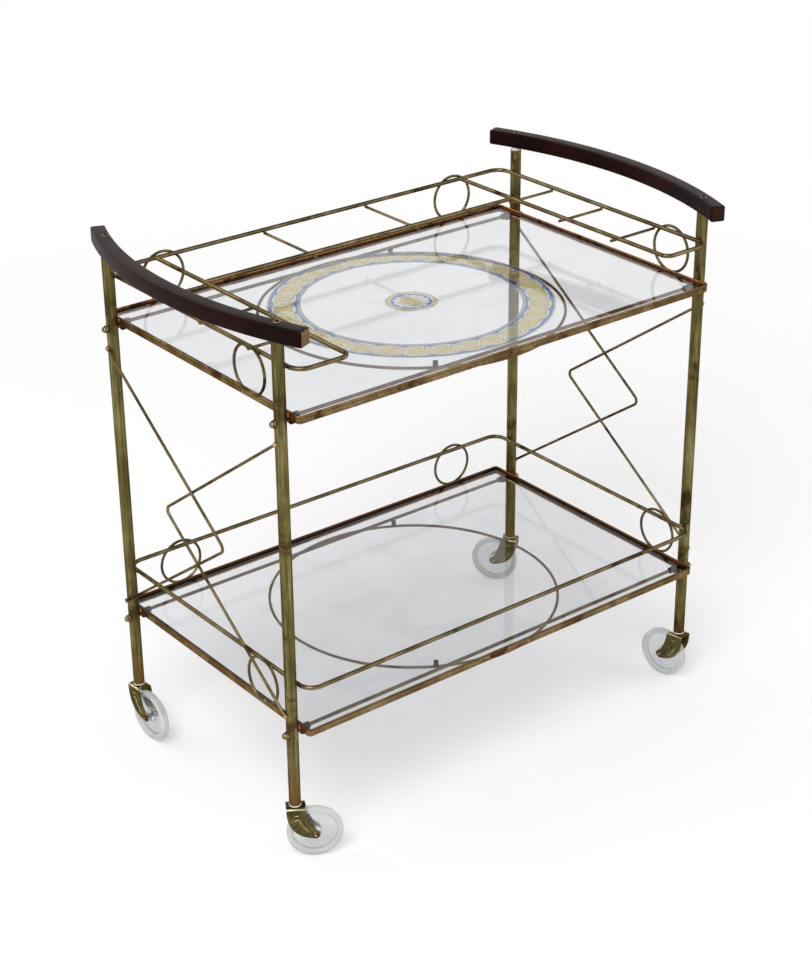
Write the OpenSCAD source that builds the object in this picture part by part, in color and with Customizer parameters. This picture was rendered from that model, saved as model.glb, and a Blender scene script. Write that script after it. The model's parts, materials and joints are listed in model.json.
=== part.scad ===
// Two-tier bar cart on four swivel casters.
// Tube legs carry two angle trays with loose glass panes, wire galleries with
// round loops, V braces at both ends and two bowed wooden handles.
// Millimetres. X runs along the long side, Y from front to back, Z up.
// The floor is at zero and the origin is under the middle of the cart.

/* [Legs] */
// half the distance between the left and right leg centres
leg_half_x = 356; // [250:1:500]
// half the distance between the front and back leg centres
leg_half_y = 195; // [120:1:300]
// outer diameter of a leg tube
leg_d = 16; // [12:0.5:25]
// wall thickness of a leg tube
leg_wall = 1.2; // [0.8:0.1:2]
// height of the lower end of a leg above the floor
leg_base_z = 83.5; // [60:0.5:110]
// length of a leg tube
leg_len = 663; // [560:1:760]
// length by which the back right tube falls short and shows its plug
plug_show = 4; // [0:0.5:8]

/* [Leg plugs and handle screws] */
// length of the plug in the top of a leg
plug_len = 26; // [18:1:40]
// play between a plug or bushing and the tube bore, on the radius
plug_play = 0.05; // [0.02:0.01:0.2]
// shank diameter of a handle screw
screw_d = 4; // [3:0.1:5]
// play of the screw in its holes, on the radius
screw_play = 0.1; // [0.05:0.01:0.3]
// depth that a screw reaches into its plug
screw_bite = 18; // [10:1:22]
// depth of the plug's hole past the end of the screw
screw_spare = 1; // [0.5:0.5:3]
// head diameter of a handle screw
screw_head_d = 9; // [7:0.1:12]
// height of the domed screw head
screw_head_h = 2.4; // [1.5:0.1:3.5]
// width of the screw slot
slot_w = 1.2; // [0.8:0.1:1.8]
// depth of the screw slot
slot_deep = 1.2; // [0.6:0.1:1.6]
// direction in which the screw slots are turned, in degrees
slot_turn = 25; // [0:1:90]

/* [Handles] */
// width of a handle seen from above
handle_w = 20; // [16:0.5:30]
// height of a handle
handle_h = 22; // [16:0.5:30]
// radius along the long edges of a handle
handle_edge_r = 2.5; // [1:0.25:5]
// length of a handle past the centre of a leg, along Y
handle_past = 41; // [20:1:80]
// radius of the bow, to the middle of the handle
handle_bow_r = 612; // [450:1:1200]
// distance of the bow's middle line outside the centre of a leg it stands on
handle_over = 3.1; // [-4:0.1:4]

/* [Trays] */
// distance of a tray's long sides outside the centres of the legs
rail_past = 27; // [20:0.5:60]
// height of the lower tray's rim
lower_rim_z = 207; // [155:0.5:285]
// height of the upper tray's rim
upper_rim_z = 652; // [585:0.5:695]
// height of the angle rail
rail_h = 11.5; // [8:0.5:20]
// sheet thickness of the angle rail
rail_t = 2; // [1.5:0.1:3]
// width of the rail's ledge, wall included
rail_ledge = 10; // [6:0.5:16]
// inner radius of the rail's fold between its wall and its ledge
rail_fold = 0.5; // [0.2:0.1:1]
// outer corner radius of a tray
rail_corner_r = 6; // [5:0.5:9]
// thickness of a glass pane
glass_t = 6; // [4:0.5:8]
// gap between the pane's edge and the foot of the rail's fold
glass_gap = 0.3; // [0.1:0.1:1.5]

/* [Cross rods and nuts] */
// diameter of a cross rod
rod_d = 5; // [4:0.5:8]
// play of the rod in the leg's cross holes, on the radius
rod_play = 0.1; // [0.05:0.01:0.3]
// length of the threaded rod end outside the leg
rod_out = 4.5; // [3:0.5:8]
// size of a dome nut across its flats
nut_flats = 8; // [7:0.5:12]
// height of a dome nut's hexagon
nut_hex_h = 3; // [2:0.5:5]
// radius of a dome nut's dome
nut_dome_r = 3.8; // [3:0.1:5]
// length of a dome nut's round neck
nut_neck = 1.2; // [0.5:0.1:2]
// play of the rod thread in the nut, on the radius
nut_play = 0.05; // [0.02:0.01:0.1]
// free space in a nut past the end of the rod
nut_spare = 0.2; // [0.1:0.1:1]

/* [Rings under the trays] */
// distance by which a ring reaches past the middle of a cross rod
ring_past = 15; // [4:0.5:20]
// diameter of the ring's wire
ring_wire_d = 4; // [3:0.5:6]
// direction of the first rubber stud on the ring, in degrees
stud_dir = 60; // [0:1:90]
// diameter of a rubber stud on the ring
stud_d = 7; // [5.5:0.5:12]
// length of a rubber sleeve on a cross rod
sleeve_len = 8; // [4:0.5:16]
// distance of the outer end of a sleeve from the tray's short side
sleeve_in = 10.5; // [10:0.5:20]

/* [Wire galleries] */
// diameter of the gallery wire
gallery_wire_d = 6; // [4:0.5:8]
// height of the gallery wire above the rim
gallery_rise = 57.5; // [40:0.5:80]
// bend radius at the outer corners of a gallery
gallery_bend = 20; // [10:1:30]
// bend radius where a side wire returns at the front
return_bend = 12; // [8:1:20]
// distance between the outer and inner side wires
side_slot = 78; // [60:1:120]
// distance between the outer and inner back wires
back_slot = 119; // [80:1:150]
// diameter of the short link wires
link_wire_d = 4; // [3:0.5:5]
// length of a link's free tip past the inner wire
link_tip = 2; // [0:0.5:5]
// spacing of the links along a side slot
link_pitch = 107; // [80:1:120]
// number of equal spaces that the links make in the back slot
back_spaces = 3; // [2:1:5]

/* [Loops between rail and gallery] */
// radius of a loop to the middle of its wire
loop_r = 33; // [25:0.5:40]
// diameter of the loop wire
loop_wire_d = 4; // [3:0.5:5]
// height of a loop's centre above the rim
loop_rise = 29.5; // [24:0.5:36]
// distance of the back loops from a tray's short side
loop_back_in = 93; // [45:1:160]
// distance of the left loops from a tray's front side
loop_left_in = 99; // [75:1:150]
// distance of the right loops from a tray's front side
loop_right_in = 78; // [75:1:150]

/* [End braces] */
// diameter of the brace wire
brace_wire_d = 4; // [3:0.5:6]
// height of the upper ends of the braces
brace_top_z = 610.5; // [505:0.5:630]
// height of the lower ends of the braces
brace_low_z = 222.5; // [200:0.5:325]
// distance that a brace reaches past the middle of the cart
brace_past = 76; // [30:1:120]
// bend radius at the point of a brace
brace_bend = 8; // [5:1:20]
// gap between the two braces where they cross
brace_gap = 0.2; // [0.05:0.05:1]

/* [Casters] */
// wheel diameter
wheel_d = 76; // [60:1:90]
// distance of the axle behind the swivel axis
caster_trail = 25.5; // [15:0.5:35]
// width of the wheel's rim
rim_w = 10; // [8:0.5:14]
// depth of the rim, measured on the radius
rim_deep = 6.5; // [4:0.5:12]
// chamfer on the tread's edges
tread_chamfer = 1.5; // [0.5:0.1:3]
// thickness of the wheel's clear web
web_t = 3.4; // [2:0.1:6]
// width of the slope from the web up to the rim
rim_slope = 2; // [0.5:0.5:4]
// diameter of the wheel's hub
hub_d = 15; // [12:0.5:24]
// width of the slope from the web up to the hub
hub_slope = 1; // [0.5:0.5:3]
// outer width of the fork
fork_w = 22; // [20:0.5:32]
// sheet thickness of the fork
fork_t = 2; // [1.5:0.1:3]
// inner radius of the folds between the fork's top and its cheeks
fork_fold = 0.8; // [0.3:0.1:1.5]
// distance of the fork's back from the swivel axis
fork_back = 12.5; // [10:0.5:16]
// length of the fork's top in front of the swivel axis
fork_front = 13; // [10:0.5:16]
// distance that the cheek's back edge is drawn behind the fork's back
back_draw = 0.7; // [0:0.1:3]
// height of the point that draws the back edge out, above the axle
back_draw_up = -1.5; // [-4:0.5:8]
// distance that the cheek's front edge is drawn in front of the fork's front
front_draw = 5; // [1:0.5:7]
// height of the point that draws the front edge out, above the axle
front_draw_up = 15; // [12:0.5:20]
// direction in which the back edge meets the eye, in degrees
back_meet = 260; // [245:1:270]
// direction in which the front edge meets the eye, in degrees
front_meet = 73; // [50:1:80]
// radius of the fork's eye around the axle
eye_r = 6.2; // [5.5:0.1:8]
// width of the flat rib that is embossed on a fork cheek
rib_w = 7; // [4:0.5:8]
// height of the rib above the cheek
rib_out = 0.8; // [0.4:0.1:1.2]
// distance of the rib's upper end in front of the swivel axis
rib_top_x = 1; // [-2:0.5:4]
// distance of the rib's upper end under the fork's top
rib_top_in = 16.5; // [12:0.5:20]
// distance of the point that draws the rib, in front of the swivel axis
rib_mid_x = 4; // [2:0.5:7]
// height of the point that draws the rib, above the axle
rib_mid_up = 12; // [10:0.5:16]
// distance of the rib's lower end behind the axle
rib_low_in = 9.5; // [9:0.5:12]
// height of the rib's lower end above the axle
rib_low_up = 1.5; // [0:0.5:4]
// width of the notch that the wheel's rim stands in
notch_w = 13; // [11:0.5:17]
// distance of the notch from the swivel axis
notch_at = 7; // [7:0.5:9]
// axle diameter
axle_d = 6; // [4:0.5:8]
// running play of the wheel on its axle, on the radius
axle_play = 0.05; // [0.01:0.01:0.1]
// play of the hub between the fork's cheeks, on each side
hub_play = 0.3; // [0.2:0.05:0.8]
// head diameter of the axle rivet
rivet_head_d = 9; // [7:0.5:12]
// head height of the axle rivet
rivet_head_h = 2.2; // [1:0.1:3]
// diameter of the caster stem
stem_d = 8; // [6:0.5:10]
// running play of the stem in its bushing, on the radius
stem_play = 0.05; // [0.01:0.01:0.1]
// diameter of the stem's rivet head
stem_head_d = 9; // [8.5:0.1:11]
// thickness of the stem's rivet head
stem_head_t = 1.2; // [0.8:0.1:2]
// depth of the bushing inside the leg
bushing_len = 22; // [15:1:40]
// length of the stem inside the leg
stem_len = 20; // [12:1:36]
// diameter of the bushing's collar
collar_d = 17; // [16:0.5:22]
// thickness of the bushing's collar
collar_t = 1.5; // [1:0.1:4]
// diameter of the raised seat on the fork's top
neck_d = 13; // [11:0.5:13.5]
// height of the raised seat on the fork's top
neck_h = 1.5; // [0.5:0.1:3]
// gap between the collar and the fork's raised seat
swivel_gap = 0.3; // [0.2:0.05:1]
// direction of the front left wheel behind its leg, in degrees
swivel_front_left = -32; // [-180:1:180]
// direction of the front right wheel behind its leg, in degrees
swivel_front_right = 100; // [-180:1:180]
// direction of the back left wheel behind its leg, in degrees
swivel_back_left = -86; // [-180:1:180]
// direction of the back right wheel behind its leg, in degrees
swivel_back_right = 125; // [-180:1:180]

/* [Hidden] */
$fn = 96;
eps = 0.01;
bend_swell = 0.03;
bend_lap = 0.2;
edge_steps = 12;
brass = [0.52, 0.46, 0.26];
bronze = [0.45, 0.30, 0.17];
mahogany = [0.20, 0.06, 0.05];
clear = [0.80, 0.88, 0.88, 0.35];
white = [0.90, 0.89, 0.85];
rubber = [0.06, 0.06, 0.07];
steel = [0.45, 0.36, 0.28];
leg_bore = leg_d - 2 * leg_wall;
leg_top_z = leg_base_z + leg_len;
tray_half_x = leg_half_x - leg_d / 2;
tray_half_y = leg_half_y + rail_past;
rail_bend = rail_t + rail_fold;
handle_half = leg_half_y + handle_past;
handle_mid_x = leg_half_x + handle_over + handle_bow_r - sqrt(pow(handle_bow_r, 2) - pow(leg_half_y, 2));
ring_r = leg_half_y + ring_past;
rod_drop = rail_h + rod_d / 2;
rod_zs = [upper_rim_z - rod_drop, lower_rim_z - rod_drop];
rod_half = leg_half_x + leg_d / 2 + rod_out;
ring_drop = rod_drop + rod_d / 2 + ring_wire_d / 2;
glass_drop = rail_h - rail_t;
gallery_half_x = tray_half_x - gallery_wire_d / 2;
gallery_half_y = tray_half_y - gallery_wire_d / 2;
inner_x = gallery_half_x - side_slot;
inner_y = gallery_half_y - back_slot;
back_space = 2 * inner_x / back_spaces;
loop_back_x = tray_half_x - loop_back_in;
loop_left_y = tray_half_y - loop_left_in;
loop_right_y = tray_half_y - loop_right_in;
link_drop = gallery_wire_d / 2 + link_wire_d / 2;
brace_x = leg_half_x + leg_d / 2 + brace_wire_d / 2;
brace_lean = atan((brace_wire_d + brace_gap) / 2 / leg_half_y);
fork_top_z = leg_base_z - collar_t - swivel_gap - neck_h;
fork_bend = fork_t + fork_fold;
wheel_r = wheel_d / 2;
hub_w = fork_w - 2 * fork_t - 2 * hub_play;

// Direction of the straight from a to b.
function heading(a, b) = (b - a) / norm(b - a);
// Turning angle of a wire at b, positive to the left.
function turning(a, b, c) =
  let (u = heading(a, b), v = heading(b, c))
  atan2(u[0] * v[1] - u[1] * v[0], u[0] * v[0] + u[1] * v[1]);
// Length that a bend of radius r takes from each straight at b.
function bend_trim(a, b, c, r) = r * tan(abs(turning(a, b, c)) / 2);
// Point on a curve from p to r that is drawn towards q.
function curve(p, q, r, t) = (1 - t) * (1 - t) * p + 2 * t * (1 - t) * q + t * t * r;

// Point beside that curve, by off to its left.
function beside(p, q, r, t, off) =
  let (u = heading(curve(p, q, r, t - eps), curve(p, q, r, t + eps)))
  curve(p, q, r, t) + off * [-u[1], u[0]];
// Share of a rib's full width, from nothing at its ends to one along its middle.
function swell(t) = sqrt(1 - pow(2 * t - 1, 6));

// Straight wire from a to b in the XY plane.
module wire_straight(a, b, d) {
  run = b - a;
  translate([a[0], a[1], 0])
    rotate([0, 0, atan2(run[1], run[0])])
      rotate([0, 90, 0])
        cylinder(d = d, h = norm(run));
}

// Round bend at b of a wire that comes from a and goes on to c.
module wire_bend(a, b, c, r, d) {
  u = heading(a, b);
  v = heading(b, c);
  side = sign(turning(a, b, c));
  cut = bend_trim(a, b, c, r);
  start = b - u * cut;
  centre = start + side * r * [-u[1], u[0]];
  from = side > 0 ? start : b + v * cut;
  translate([centre[0], centre[1], 0])
    rotate([0, 0, atan2(from[1] - centre[1], from[0] - centre[0])])
      rotate_extrude(angle = abs(turning(a, b, c)))
        translate([r, 0])
          circle(d = d);
}

// Wire through a list of points, with a bend radius for each point.
// Its bends can be thicker than its straights by swell, and the ends of the
// straights then reach into them by lap.
module bent_wire(points, radii, d, swell = 0, lap = 0) {
  last = len(points) - 1;
  for (i = [0 : last - 1]) {
    a = points[i];
    b = points[i + 1];
    u = heading(a, b);
    head = i == 0 ? 0 : bend_trim(points[i - 1], a, b, radii[i]) - lap;
    tail = i + 1 == last ? 0 : bend_trim(a, b, points[i + 2], radii[i + 1]) - lap;
    wire_straight(a + u * head, b - u * tail, d);
  }
  for (i = [1 : last - 1])
    wire_bend(points[i - 1], points[i], points[i + 1], radii[i], d + swell);
}

// Flat rectangle with round corners, centred.
module round_rect(w, h, r) {
  square([w - 2 * r, h], center = true);
  square([w, h - 2 * r], center = true);
  for (x = [-1, 1], y = [-1, 1])
    translate([x * (w / 2 - r), y * (h / 2 - r)])
      circle(r = r);
}

// Domed head that stands on the XY plane.
module dome(d, h) {
  ball = (d * d / 4 + h * h) / (2 * h);
  intersection() {
    translate([0, 0, h - ball])
      sphere(r = ball);
    cylinder(d = d, h = h);
  }
}

// Leg tube with cross holes for the rods. The top can fall short by cut.
module leg(sx, sy, cut) {
  translate([sx * leg_half_x, sy * leg_half_y, leg_base_z])
    difference() {
      cylinder(d = leg_d, h = leg_len - cut);
      translate([0, 0, -1])
        cylinder(d = leg_bore, h = leg_len + 2);
      for (z = rod_zs)
        translate([-leg_d, 0, z - leg_base_z])
          rotate([0, 90, 0])
            cylinder(d = rod_d + 2 * rod_play, h = 2 * leg_d);
    }
}

// Plug in the top of a leg, drilled for the handle screw.
module leg_plug(sx, sy) {
  translate([sx * leg_half_x, sy * leg_half_y, leg_top_z - plug_len])
    difference() {
      cylinder(d = leg_bore - 2 * plug_play, h = plug_len);
      translate([0, 0, plug_len - screw_bite - screw_spare])
        cylinder(d = screw_d + 2 * screw_play, h = screw_bite + screw_spare + 1);
    }
}

// Bowed handle bar over the right legs.
module handle_bar() {
  half = asin(handle_half / handle_bow_r);
  difference() {
    translate([handle_mid_x - handle_bow_r, 0, leg_top_z + handle_h / 2])
      rotate([0, 0, -half])
        rotate_extrude(angle = 2 * half)
          translate([handle_bow_r, 0])
            round_rect(handle_w, handle_h, handle_edge_r);
    for (sy = [-1, 1])
      translate([leg_half_x, sy * leg_half_y, leg_top_z - 1])
        cylinder(d = screw_d + 2 * screw_play, h = handle_h + 2);
  }
}

// Slotted round-head screw that holds a handle to a leg plug.
module handle_screw(sx, sy) {
  translate([sx * leg_half_x, sy * leg_half_y, leg_top_z + handle_h])
    difference() {
      union() {
        dome(screw_head_d, screw_head_h);
        translate([0, 0, -handle_h - screw_bite])
          cylinder(d = screw_d, h = handle_h + screw_bite + eps);
      }
      rotate([0, 0, slot_turn * sx * sy])
        translate([-screw_head_d, -slot_w / 2, screw_head_h - slot_deep])
          cube([2 * screw_head_d, slot_w, slot_deep + 1]);
    }
}

// Cross-section of the folded angle rail, from its outer face inwards by reach,
// with a rounded lip on top of the wall.
module rail_section(reach) {
  translate([0, rail_bend])
    square([rail_t, rail_h - rail_bend - rail_t / 2]);
  translate([rail_bend, 0])
    square([reach - rail_bend, rail_t]);
  translate([rail_t / 2, rail_h - rail_t / 2])
    circle(d = rail_t);
  intersection() {
    translate([rail_bend, rail_bend])
      difference() {
        circle(r = rail_bend);
        circle(r = rail_fold);
      }
    square(rail_bend);
  }
}

// Rail along X in front of the tray's middle, with the corner at its right end.
module rail_side(half_x, half_y) {
  run = half_x - rail_corner_r;
  translate([-run, -half_y, 0])
    rotate([90, 0, 90])
      linear_extrude(2 * run)
        rail_section(rail_ledge);
  translate([run, rail_corner_r - half_y, 0])
    rotate([0, 0, -90])
      rotate_extrude(angle = 90)
        translate([rail_corner_r, 0])
          mirror([1, 0])
            rail_section(rail_corner_r);
}

// Angle frame of a tray: four folded rails with round corners.
module tray_frame(rim_z) {
  translate([0, 0, rim_z - rail_h]) {
    for (turn = [0, 180])
      rotate([0, 0, turn])
        rail_side(tray_half_x, tray_half_y);
    for (turn = [90, 270])
      rotate([0, 0, turn])
        rail_side(tray_half_y, tray_half_x);
  }
}

// Glass pane that lies loose on the ledge.
module glass_pane(rim_z) {
  inset = rail_bend + glass_gap;
  translate([0, 0, rim_z - glass_drop])
    linear_extrude(glass_t)
      round_rect(2 * (tray_half_x - inset), 2 * (tray_half_y - inset), rail_corner_r - rail_t);
}

// Rod that crosses the cart under a tray and through both legs.
module cross_rod(sy, rim_z) {
  translate([-rod_half, sy * leg_half_y, rim_z - rod_drop])
    rotate([0, 90, 0])
      cylinder(d = rod_d, h = 2 * rod_half);
}

// Dome nut on the outer end of a cross rod.
module dome_nut(sx, sy, z) {
  translate([sx * (leg_half_x + leg_d / 2), sy * leg_half_y, z])
    rotate([0, sx * 90, 0])
      difference() {
        union() {
          cylinder(d = nut_flats / cos(30), h = nut_hex_h, $fn = 6);
          cylinder(r = nut_dome_r, h = nut_hex_h + nut_neck);
          translate([0, 0, nut_hex_h + nut_neck])
            intersection() {
              sphere(r = nut_dome_r);
              cylinder(r = nut_dome_r + 1, h = nut_dome_r + 1);
            }
        }
        translate([0, 0, -1])
          cylinder(d = rod_d + 2 * nut_play, h = rod_out + nut_spare + 1);
      }
}

// Large wire ring welded under the two cross rods of a tray.
module tray_ring(rim_z, d = ring_wire_d) {
  translate([0, 0, rim_z - ring_drop])
    rotate_extrude()
      translate([ring_r, 0])
        circle(d = d);
}

// Rubber sleeves on the cross rods and rubber studs on the ring.
module glass_pads(rim_z) {
  sleeve_r = rod_drop - glass_drop;
  for (sx = [-1, 1], sy = [-1, 1])
    translate([sx * (tray_half_x - sleeve_in - sleeve_len / 2), sy * leg_half_y, rim_z - rod_drop])
      rotate([0, 90, 0])
        difference() {
          cylinder(r = sleeve_r, h = sleeve_len, center = true);
          cylinder(d = rod_d, h = sleeve_len + 2, center = true);
        }
  difference() {
    for (side = [-1, 1])
      rotate([0, 0, stud_dir])
        translate([side * ring_r, 0, rim_z - ring_drop])
          cylinder(d = stud_d, h = ring_drop - glass_drop);
    tray_ring(rim_z);
  }
}

// Upper gallery wire: back, both sides and the two returns at the front.
module upper_gallery_run() {
  x = gallery_half_x;
  y = gallery_half_y;
  stop = y - gallery_wire_d / 2;
  points = [[-inner_x, stop], [-inner_x, -y], [-x, -y], [-x, y],
            [x, y], [x, -y], [inner_x, -y], [inner_x, stop]];
  radii = [0, return_bend, gallery_bend, gallery_bend, gallery_bend, gallery_bend, return_bend, 0];
  translate([0, 0, upper_rim_z + gallery_rise])
    bent_wire(points, radii, gallery_wire_d);
}

// Inner back wire between the two inner side wires.
module upper_inner_run() {
  reach = inner_x - gallery_wire_d / 2;
  translate([0, inner_y, upper_rim_z + gallery_rise])
    rotate([0, 90, 0])
      cylinder(d = gallery_wire_d, h = 2 * reach, center = true);
}

// Short link wires under the gallery, across the side and back slots.
module gallery_links() {
  side_reach = side_slot + gallery_wire_d / 2 + link_tip;
  back_reach = back_slot + gallery_wire_d / 2 + link_tip;
  translate([0, 0, upper_rim_z + gallery_rise - link_drop]) {
    for (sx = [-1, 1], i = [0 : 2])
      translate([sx * (gallery_half_x - side_reach / 2), inner_y - i * link_pitch, 0])
        rotate([0, 90, 0])
          cylinder(d = link_wire_d, h = side_reach, center = true);
    for (i = [1 : back_spaces - 1])
      translate([i * back_space - inner_x, gallery_half_y - back_reach / 2, 0])
        rotate([90, 0, 0])
          cylinder(d = link_wire_d, h = back_reach, center = true);
  }
}

// Closed gallery wire around the lower tray.
module lower_gallery_run() {
  x = gallery_half_x;
  y = gallery_half_y;
  points = [[0, -y], [x, -y], [x, y], [-x, y], [-x, -y], [0, -y]];
  radii = [0, gallery_bend, gallery_bend, gallery_bend, gallery_bend, 0];
  translate([0, 0, lower_rim_z + gallery_rise])
    bent_wire(points, radii, gallery_wire_d);
}

// Upright wire loop, its axis along Y.
module wire_loop() {
  rotate([90, 0, 0])
    rotate_extrude()
      translate([loop_r, 0])
        circle(d = loop_wire_d);
}

// Loop on the outer face of the back rail.
module back_loop(sx, rim_z) {
  translate([sx * loop_back_x, tray_half_y + loop_wire_d / 2, rim_z + loop_rise])
    wire_loop();
}

// Loop on the outer face of a short rail.
module side_loop(sx, y, rim_z) {
  translate([sx * (tray_half_x + loop_wire_d / 2), -y, rim_z + loop_rise])
    rotate([0, 0, 90])
      wire_loop();
}

// V brace from one leg of an end towards the other leg.
module brace(sx, sy) {
  half = (brace_top_z - brace_low_z) / 2;
  reach = leg_half_y + brace_past;
  points = [[0, half], [reach, 0], [0, -half]];
  translate([sx * brace_x, sy * leg_half_y, brace_low_z + half])
    rotate([0, 0, sx * brace_lean])
      rotate([90, 0, -sy * 90])
        bent_wire(points, [0, brace_bend, 0], brace_wire_d, bend_swell, bend_lap);
}

// Bushing with a collar under the end of a leg, bored for the stem.
module bushing(sx, sy) {
  translate([sx * leg_half_x, sy * leg_half_y, leg_base_z])
    difference() {
      union() {
        translate([0, 0, -collar_t])
          cylinder(d = collar_d, h = collar_t);
        cylinder(d = leg_bore - 2 * plug_play, h = bushing_len);
      }
      translate([0, 0, -collar_t - 1])
        cylinder(d = stem_d + 2 * stem_play, h = collar_t + bushing_len + 2);
    }
}

// Puts a caster piece under its leg and turns it about the swivel axis.
module at_caster(sx, sy, turn) {
  translate([sx * leg_half_x, sy * leg_half_y, 0])
    rotate([0, 0, turn])
      children();
}

// Outline of a fork cheek in its own plane, with the eye around the axle.
module cheek_outline() {
  axle = [caster_trail, wheel_r];
  back_top = [-fork_back, fork_top_z];
  back_pull = [-fork_back - back_draw, wheel_r + back_draw_up];
  back_end = axle + eye_r * [cos(back_meet), sin(back_meet)];
  front_top = [fork_front, fork_top_z];
  front_pull = [fork_front + front_draw, wheel_r + front_draw_up];
  front_end = axle + eye_r * [cos(front_meet), sin(front_meet)];
  steps = [for (i = [0 : edge_steps]) i / edge_steps];
  back_edge = [for (t = steps) curve(back_top, back_pull, back_end, t)];
  front_edge = [for (t = steps) curve(front_end, front_pull, front_top, t)];
  polygon(concat(back_edge, front_edge));
  translate(axle)
    circle(r = eye_r);
}

// Outline of the rib on a cheek: a band along a curve, narrowed to its ends.
module rib_outline() {
  rib_top = [rib_top_x, fork_top_z - rib_top_in];
  rib_mid = [rib_mid_x, wheel_r + rib_mid_up];
  rib_low = [caster_trail - rib_low_in, wheel_r + rib_low_up];
  steps = [for (i = [0 : edge_steps]) i / edge_steps];
  left = [for (t = steps) beside(rib_top, rib_mid, rib_low, t, rib_w / 2 * swell(t))];
  back = [for (i = [1 : edge_steps - 1]) 1 - i / edge_steps];
  right = [for (t = back) beside(rib_top, rib_mid, rib_low, t, -rib_w / 2 * swell(t))];
  polygon(concat(left, right));
}

// Filled arch with round upper corners and a flat top, from the height low.
module fork_arch(half_w, round_r, low) {
  fold_z = fork_top_z - fork_bend;
  translate([-half_w, low])
    square([2 * half_w, fold_z - low]);
  translate([round_r - half_w, fold_z - 1])
    square([2 * (half_w - round_r), round_r + 1]);
  for (side = [-1, 1])
    translate([side * (half_w - round_r), fold_z])
      circle(r = round_r);
}

// Cross-section of the folded fork: its top over two cheeks, with round folds.
module fork_section() {
  difference() {
    fork_arch(fork_w / 2, fork_bend, 0);
    fork_arch(fork_w / 2 - fork_t, fork_fold, -1);
  }
}

// Stamped fork: a folded top with a raised seat, two raked cheeks with flat
// ribs, and a notch for the wheel.
module fork() {
  difference() {
    union() {
      intersection() {
        translate([0, fork_w / 2 + 1, 0])
          rotate([90, 0, 0])
            linear_extrude(fork_w + 2)
              cheek_outline();
        translate([-2 * fork_back, 0, 0])
          rotate([90, 0, 90])
            linear_extrude(2 * fork_back + caster_trail + 2 * eye_r)
              fork_section();
      }
      for (side = [-1, 1])
        translate([0, side * (fork_w + rib_out - fork_t / 2) / 2, 0])
          rotate([90, 0, 0])
            linear_extrude(fork_t / 2 + rib_out, center = true)
              rib_outline();
      translate([0, 0, fork_top_z - fork_t / 2])
        cylinder(d = neck_d, h = fork_t / 2 + neck_h);
    }
    translate([notch_at, -notch_w / 2, fork_top_z - fork_t - 1])
      cube([fork_front, notch_w, fork_t + neck_h + 2]);
    translate([0, 0, fork_top_z - fork_t - 1])
      cylinder(d = stem_d + 2 * stem_play, h = fork_t + neck_h + 2);
    translate([caster_trail, 0, wheel_r])
      rotate([90, 0, 0])
        cylinder(d = axle_d + 2 * axle_play, h = fork_w + 4, center = true);
  }
}

// Swivel stem with a flat rivet head under the fork's top plate.
module stem() {
  foot_z = fork_top_z - fork_t - stem_head_t;
  translate([0, 0, foot_z])
    cylinder(d = stem_head_d, h = stem_head_t);
  translate([0, 0, foot_z])
    cylinder(d = stem_d, h = leg_base_z + stem_len - foot_z);
}

// Axle rivet with a domed head on each side of the fork.
module axle() {
  translate([caster_trail, 0, wheel_r])
    rotate([90, 0, 0]) {
      cylinder(d = axle_d, h = fork_w + 2 * eps, center = true);
      for (flip = [0, 180])
        rotate([flip, 0, 0])
          translate([0, 0, fork_w / 2])
            dome(rivet_head_d, rivet_head_h);
    }
}

// Wheel with a thick rim, a thin web and a hub bored for the axle.
module wheel() {
  bore = axle_d / 2 + axle_play;
  rim_in = wheel_r - rim_deep;
  half = [[bore, hub_w / 2], [hub_d / 2, hub_w / 2], [hub_d / 2 + hub_slope, web_t / 2],
          [rim_in - rim_slope, web_t / 2], [rim_in, rim_w / 2],
          [wheel_r - tread_chamfer, rim_w / 2], [wheel_r, rim_w / 2 - tread_chamfer]];
  other = [for (i = [len(half) - 1 : -1 : 0]) [half[i][0], -half[i][1]]];
  translate([caster_trail, 0, wheel_r])
    rotate([90, 0, 0])
      rotate_extrude()
        polygon(concat(half, other));
}

module leg_front_left() color(brass) leg(-1, -1, 0);
module leg_front_right() color(brass) leg(1, -1, 0);
module leg_back_left() color(brass) leg(-1, 1, 0);
module leg_back_right() color(brass) leg(1, 1, plug_show);
module leg_plugs() color(white) for (sx = [-1, 1], sy = [-1, 1]) leg_plug(sx, sy);
module handle_right() color(mahogany) handle_bar();
module handle_left() color(mahogany) rotate([0, 0, 180]) handle_bar();
module handle_screws() color(steel) for (sx = [-1, 1], sy = [-1, 1]) handle_screw(sx, sy);
module upper_tray_frame() color(bronze) tray_frame(upper_rim_z);
module lower_tray_frame() color(bronze) tray_frame(lower_rim_z);
module upper_glass() color(clear) glass_pane(upper_rim_z);
module lower_glass() color(clear) glass_pane(lower_rim_z);
module upper_front_rod() color(bronze) cross_rod(-1, upper_rim_z);
module upper_back_rod() color(bronze) cross_rod(1, upper_rim_z);
module lower_front_rod() color(bronze) cross_rod(-1, lower_rim_z);
module lower_back_rod() color(bronze) cross_rod(1, lower_rim_z);
module dome_nuts() color(brass) for (sx = [-1, 1], sy = [-1, 1], z = rod_zs) dome_nut(sx, sy, z);
module upper_ring() color(bronze) tray_ring(upper_rim_z);
module lower_ring() color(bronze) tray_ring(lower_rim_z);
module upper_glass_pads() color(rubber) glass_pads(upper_rim_z);
module lower_glass_pads() color(rubber) glass_pads(lower_rim_z);
module upper_gallery_wire() color(brass) upper_gallery_run();
module upper_inner_wire() color(brass) upper_inner_run();
module upper_gallery_links() color(brass) gallery_links();
module lower_gallery_wire() color(brass) lower_gallery_run();
module upper_loop_back_left() color(brass) back_loop(-1, upper_rim_z);
module upper_loop_back_right() color(brass) back_loop(1, upper_rim_z);
module upper_loop_left() color(brass) side_loop(-1, loop_left_y, upper_rim_z);
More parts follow.
